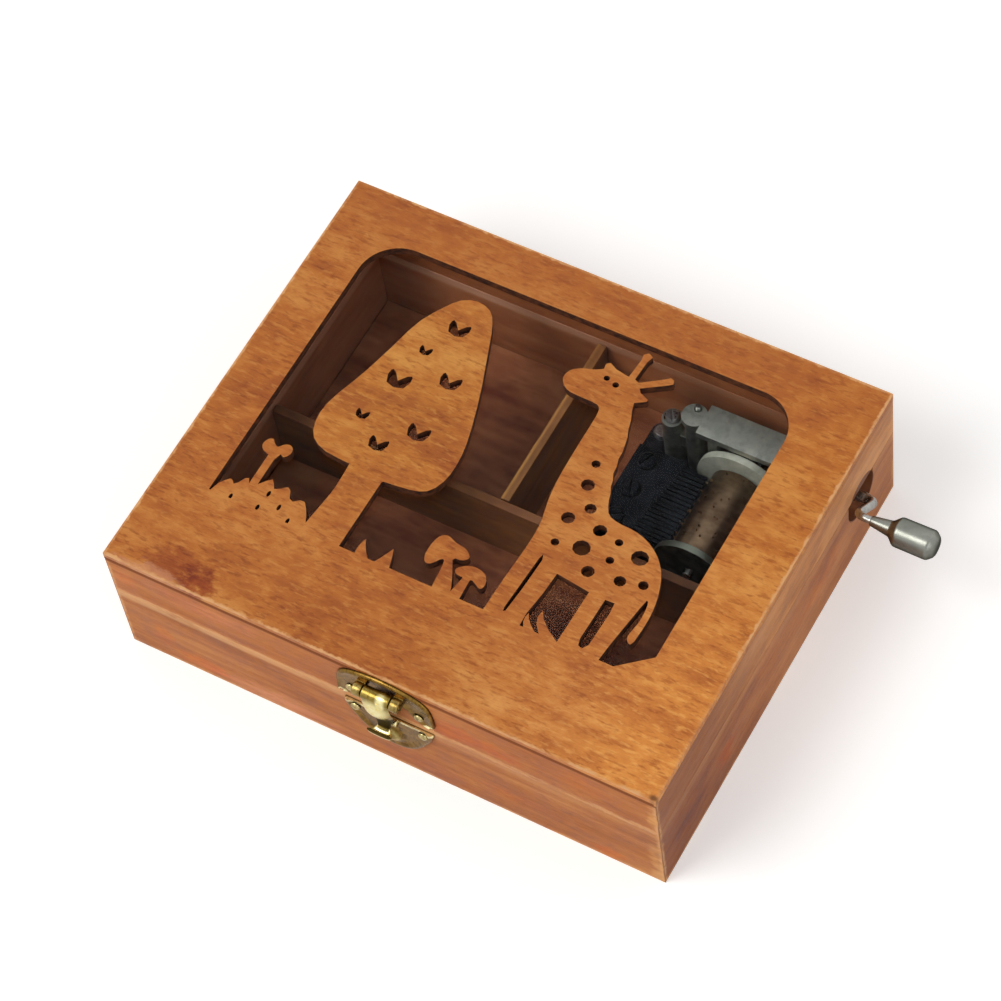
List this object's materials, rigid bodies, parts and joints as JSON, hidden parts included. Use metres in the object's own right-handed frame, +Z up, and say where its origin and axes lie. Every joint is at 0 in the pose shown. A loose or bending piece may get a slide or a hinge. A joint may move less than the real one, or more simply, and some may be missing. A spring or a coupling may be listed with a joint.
{
  "type": "hand crank music box",
  "caption": "Small hinged wooden box with a fretted picture lid over a clear pane, a brass latch, and a cranked music movement inside whose handle stands out of the side.",
  "frame": {"origin": "middle of the box's underside", "axes": "+X towards the crank, +Y towards the hinges, +Z up"},
  "size_m": [0.1462, 0.1099, 0.035],
  "materials": {
    "stained_wood": "satin stain",
    "dark_wood": "matte stain",
    "clear_sheet": "clear gloss",
    "bright_brass": "polished",
    "aged_brass": "satin",
    "cast_zinc": "as cast, satin",
    "dark_steel": "satin",
    "nickel_steel": "nickel plated"
  },
  "bodies": {
    "base": {"base_front_wall": "stained_wood", "base_right_wall": "stained_wood", "base_back_wall": "stained_wood", "base_left_wall": "stained_wood", "bottom_panel": "dark_wood", "cross_divider": "dark_wood", "long_divider": "dark_wood", "latch_lower_plate": "bright_brass", "latch_nail_3": "bright_brass", "latch_nail_4": "bright_brass", "hinge_left_base_leaf": "bright_brass", "hinge_left_base_nail_1": "bright_brass", "hinge_left_base_nail_2": "bright_brass", "hinge_left_pin": "bright_brass", "hinge_right_base_leaf": "bright_brass", "hinge_right_base_nail_1": "bright_brass", "hinge_right_base_nail_2": "bright_brass", "hinge_right_pin": "bright_brass", "bedplate": "dark_steel", "bedplate_screw_1": "cast_zinc", "bedplate_screw_2": "cast_zinc", "bedplate_screw_3": "cast_zinc", "comb": "dark_steel", "comb_screw_1": "cast_zinc", "comb_screw_2": "cast_zinc", "comb_screw_3": "cast_zinc", "front_bearing_bracket": "dark_steel", "back_bearing_bracket": "cast_zinc", "crank_bracket": "cast_zinc", "bracket_screw": "cast_zinc", "bracket_stud": "nickel_steel"},
    "lid": {"lid_panel": "stained_wood", "lid_front_rail": "stained_wood", "lid_right_rail": "stained_wood", "lid_back_rail": "stained_wood", "lid_left_rail": "stained_wood", "window_pane": "clear_sheet", "latch_upper_plate": "bright_brass", "latch_pin": "bright_brass", "latch_nail_1": "bright_brass", "latch_nail_2": "bright_brass", "hinge_left_lid_leaf": "bright_brass", "hinge_left_lid_nail_1": "bright_brass", "hinge_left_lid_nail_2": "bright_brass", "hinge_right_lid_leaf": "bright_brass", "hinge_right_lid_nail_1": "bright_brass", "hinge_right_lid_nail_2": "bright_brass"},
    "latch": {"latch_flap": "bright_brass"},
    "crank": {"crank_rod": "nickel_steel", "crank_worm": "nickel_steel", "crank_collar": "nickel_steel"},
    "knob": {"crank_knob": "nickel_steel"},
    "cylinder": {"pinned_cylinder": "aged_brass", "cylinder_arbor": "nickel_steel", "worm_wheel": "aged_brass"}
  },
  "joints": [
    {"name": "lid_hinge", "type": "hinge", "parent": "base", "child": "lid", "pos_m": [0, 0.05255, 0.02105], "axis": [-1, 0, 0], "range_deg": [0, 180]},
    {"name": "latch_hinge", "type": "hinge", "parent": "lid", "child": "latch", "pos_m": [0.0022, -0.05335, 0.0312], "axis": [-1, 0, 0], "range_deg": [0, 150]},
    {"name": "crank_spin", "type": "hinge", "parent": "base", "child": "crank", "pos_m": [0.037, 0.036, 0.0178], "axis": [1, 0, 0], "continuous": true},
    {"name": "knob_spin", "type": "hinge", "parent": "crank", "child": "knob", "pos_m": [0.076, 0.02751, 0.02556], "axis": [1, 0, 0], "continuous": true},
    {"name": "cylinder_spin", "type": "hinge", "parent": "base", "child": "cylinder", "pos_m": [0.037, 0.021, 0.0102], "axis": [0, 1, 0], "continuous": true}
  ],
  "couplings": [
    {"joint": "cylinder_spin", "follows": "crank_spin", "ratio": -0.05}
  ]
}
